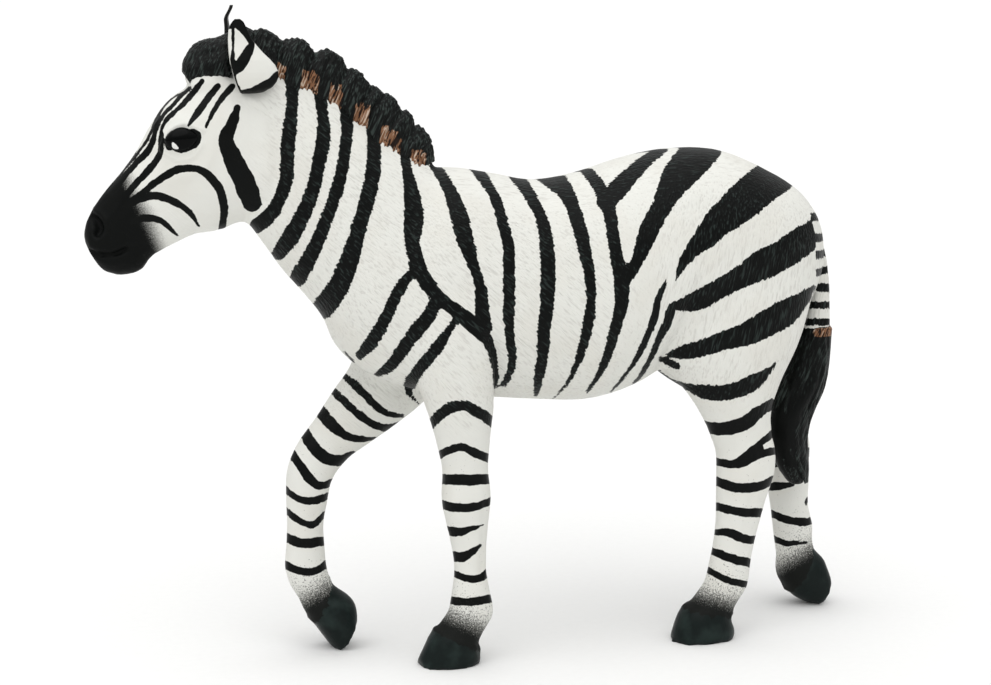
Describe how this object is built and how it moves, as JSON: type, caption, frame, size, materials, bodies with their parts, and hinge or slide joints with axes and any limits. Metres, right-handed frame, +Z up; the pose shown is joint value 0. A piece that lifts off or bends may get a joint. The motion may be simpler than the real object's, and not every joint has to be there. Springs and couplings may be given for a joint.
{
  "type": "zebra figurine",
  "caption": "Walking zebra figurine moulded as one solid, with an upright mane and a hanging tail, standing on its hooves on a flat surface.",
  "frame": {"origin": "middle of the figure's length and width, on the floor under its hooves", "axes": "-X towards the muzzle, -Y towards the figure's left side, +Z up"},
  "size_m": [0.1466, 0.0338, 0.1197],
  "materials": {
    "painted_plastic": "moulded soft plastic, hand painted matt off-white with near-black stripes, mane, muzzle and hooves"
  },
  "bodies": {
    "root": {"zebra": "painted_plastic"}
  },
  "joints": []
}
